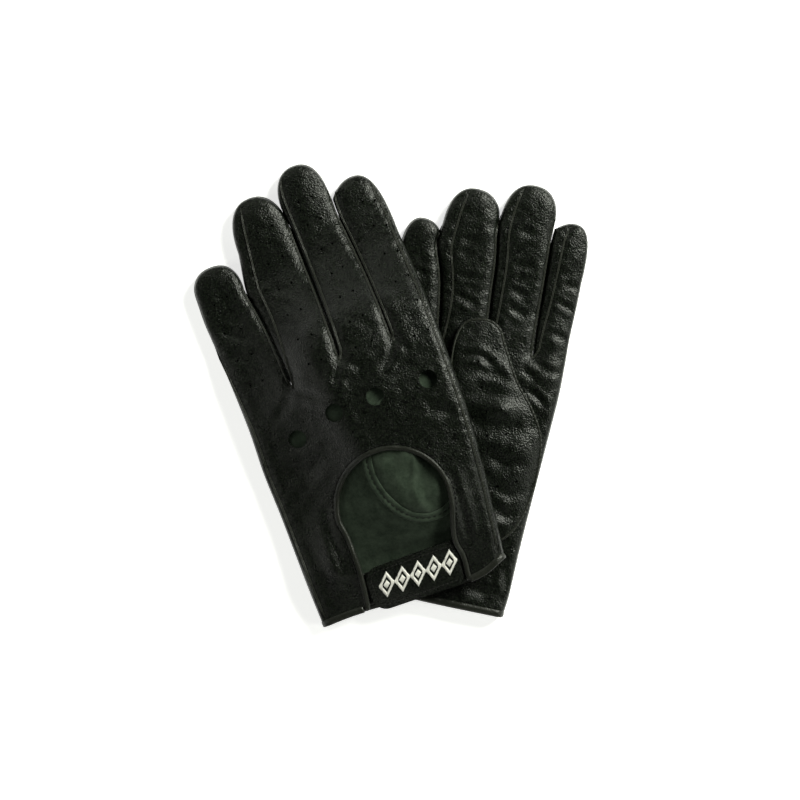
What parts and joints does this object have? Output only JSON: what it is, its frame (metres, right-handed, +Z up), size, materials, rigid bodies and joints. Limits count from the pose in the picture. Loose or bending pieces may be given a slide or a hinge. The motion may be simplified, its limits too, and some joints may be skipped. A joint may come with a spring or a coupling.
{
  "type": "pair of leather driving gloves",
  "caption": "Pair of unlined black leather driving gloves with knuckle holes, a wrist window and a strap closure, laid flat and fanned at the wrist.",
  "frame": {"origin": "under the middle of the pair, on the surface it lies on", "axes": "+Z up out of the surface, +Y from the wrists towards the fingertips, +X to the right of the wearer's view"},
  "size_m": [0.2114, 0.247, 0.0369],
  "materials": {
    "nappa_leather": "fine grain, satin",
    "binding_leather": "smooth, satin",
    "suede": "suede",
    "fastener_pile": "hook and loop pile",
    "white_thread": "satin stitch"
  },
  "bodies": {
    "right_glove": {"right_back_panel": "nappa_leather", "right_palm_panel": "nappa_leather", "right_fourchette_little_ring": "nappa_leather", "right_fourchette_ring_middle": "nappa_leather", "right_fourchette_middle_index": "nappa_leather", "right_window_binding": "binding_leather", "right_hem_binding": "binding_leather", "right_closure_tab": "nappa_leather", "right_loop_pad": "fastener_pile"},
    "right_strap": {"right_strap": "nappa_leather", "right_strap_backing": "suede", "right_hook_pad": "fastener_pile", "right_strap_emblem": "white_thread"},
    "right_thumb": {"right_thumb_inner": "nappa_leather", "right_thumb_outer": "nappa_leather"},
    "left_glove": {"left_back_panel": "nappa_leather", "left_palm_panel": "nappa_leather", "left_fourchette_little_ring": "nappa_leather", "left_fourchette_ring_middle": "nappa_leather", "left_fourchette_middle_index": "nappa_leather", "left_window_binding": "binding_leather", "left_hem_binding": "binding_leather", "left_closure_tab": "nappa_leather", "left_loop_pad": "fastener_pile"},
    "left_strap": {"left_strap": "nappa_leather", "left_strap_backing": "suede", "left_hook_pad": "fastener_pile", "left_strap_emblem": "white_thread"},
    "left_thumb": {"left_thumb_inner": "nappa_leather", "left_thumb_outer": "nappa_leather"}
  },
  "joints": [
    {"name": "left_glove_lift", "type": "slide", "parent": "right_glove", "child": "left_glove", "axis": [0, 0, 1], "range_m": [0, 0.12]},
    {"name": "left_strap_open", "type": "hinge", "parent": "left_glove", "child": "left_strap", "pos_m": [0.03623, -0.08582, 0.0369], "axis": [-0.3338, 0.9426, 0], "range_deg": [0, 150]},
    {"name": "left_thumb_swing", "type": "hinge", "parent": "left_glove", "child": "left_thumb", "pos_m": [0.01161, -0.03725, 0.0221], "axis": [0, 0, -1], "range_deg": [0, 55]},
    {"name": "right_strap_open", "type": "hinge", "parent": "right_glove", "child": "right_strap", "pos_m": [0.04169, -0.10367, 0], "axis": [-0.2487, -0.9686, 0], "range_deg": [0, 150]},
    {"name": "right_thumb_swing", "type": "hinge", "parent": "right_glove", "child": "right_thumb", "pos_m": [0.04834, -0.04962, 0.0148], "axis": [0, 0, -1], "range_deg": [0, 55]}
  ]
}
